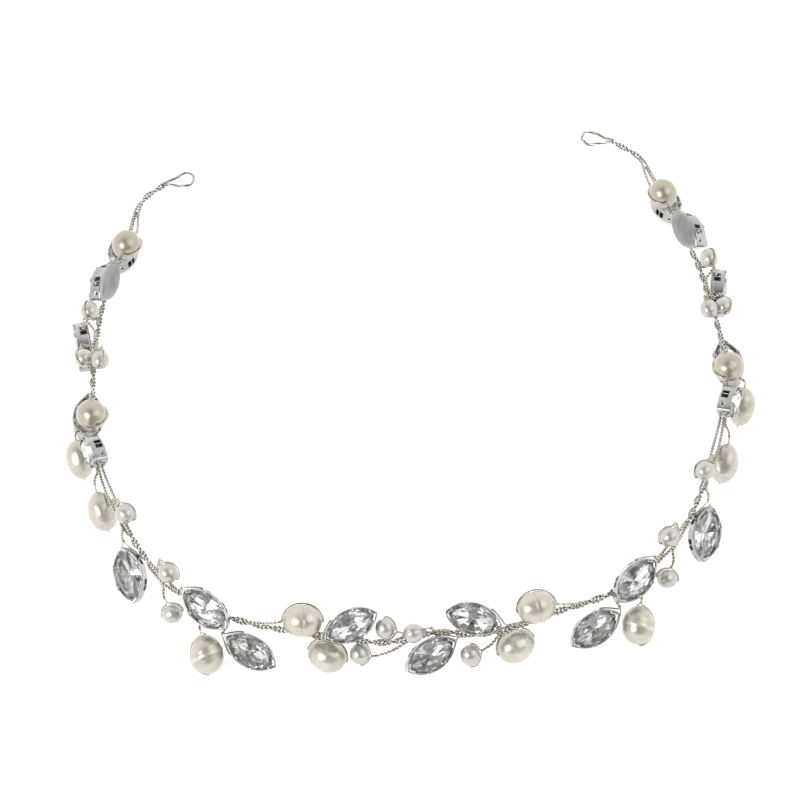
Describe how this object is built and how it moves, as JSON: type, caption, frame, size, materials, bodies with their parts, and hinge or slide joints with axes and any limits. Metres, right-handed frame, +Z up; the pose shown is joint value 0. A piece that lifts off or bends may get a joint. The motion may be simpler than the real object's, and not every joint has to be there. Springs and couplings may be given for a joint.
{
  "type": "hair vine",
  "caption": "Horseshoe hair vine of twisted silver wire with drilled pearls and claw-set marquise stones, a wire loop for a hairpin at each end.",
  "frame": {"origin": "centre of the overall box, on the plane that the vine rests on", "axes": "+Z up, +X to the right of the picture, +Y from the forehead toward the open back of the head"},
  "size_m": [0.1645, 0.182, 0.0193],
  "materials": {
    "trunk_wire": "silver-plated wire, two twisted pairs laid side by side",
    "stem_wire": "silver-plated wire with a faint champagne tint",
    "large_pearl": "ivory nacre, glossy with a soft lustre",
    "small_pearl": "white to ivory nacre, glossy",
    "claw_setting": "polished silver plating",
    "clear_stone": "clear faceted glass, foiled back"
  },
  "bodies": {
    "root": {"trunk": "trunk_wire", "end_loop_left": "trunk_wire", "end_loop_right": "trunk_wire", "stems_left": "stem_wire", "stems_right": "stem_wire", "beads_left": "small_pearl", "beads_right": "small_pearl", "pearl_left_1": "large_pearl", "pearl_left_2": "large_pearl", "pearl_left_3": "large_pearl", "pearl_left_4": "large_pearl", "pearl_left_5": "large_pearl", "pearl_left_6": "large_pearl", "pearl_left_7": "large_pearl", "pearl_right_1": "large_pearl", "pearl_right_2": "large_pearl", "pearl_right_3": "large_pearl", "pearl_right_4": "large_pearl", "pearl_right_5": "large_pearl", "pearl_right_6": "large_pearl", "pearl_right_7": "large_pearl", "setting_left_1": "claw_setting", "setting_left_2": "claw_setting", "setting_left_3": "claw_setting", "setting_left_4": "claw_setting", "setting_left_5": "claw_setting", "setting_left_6": "claw_setting", "setting_left_7": "claw_setting", "setting_left_8": "claw_setting", "setting_right_1": "claw_setting", "setting_right_2": "claw_setting", "setting_right_3": "claw_setting", "setting_right_4": "claw_setting", "setting_right_5": "claw_setting", "setting_right_6": "claw_setting", "setting_right_7": "claw_setting", "setting_right_8": "claw_setting", "setting_centre_1": "claw_setting", "setting_centre_2": "claw_setting", "setting_centre_3": "claw_setting", "stone_left_1": "clear_stone", "stone_left_2": "clear_stone", "stone_left_3": "clear_stone", "stone_left_4": "clear_stone", "stone_left_5": "clear_stone", "stone_left_6": "clear_stone", "stone_left_7": "clear_stone", "stone_left_8": "clear_stone", "stone_right_1": "clear_stone", "stone_right_2": "clear_stone", "stone_right_3": "clear_stone", "stone_right_4": "clear_stone", "stone_right_5": "clear_stone", "stone_right_6": "clear_stone", "stone_right_7": "clear_stone", "stone_right_8": "clear_stone", "stone_centre_1": "clear_stone", "stone_centre_2": "clear_stone", "stone_centre_3": "clear_stone"}
  },
  "joints": []
}
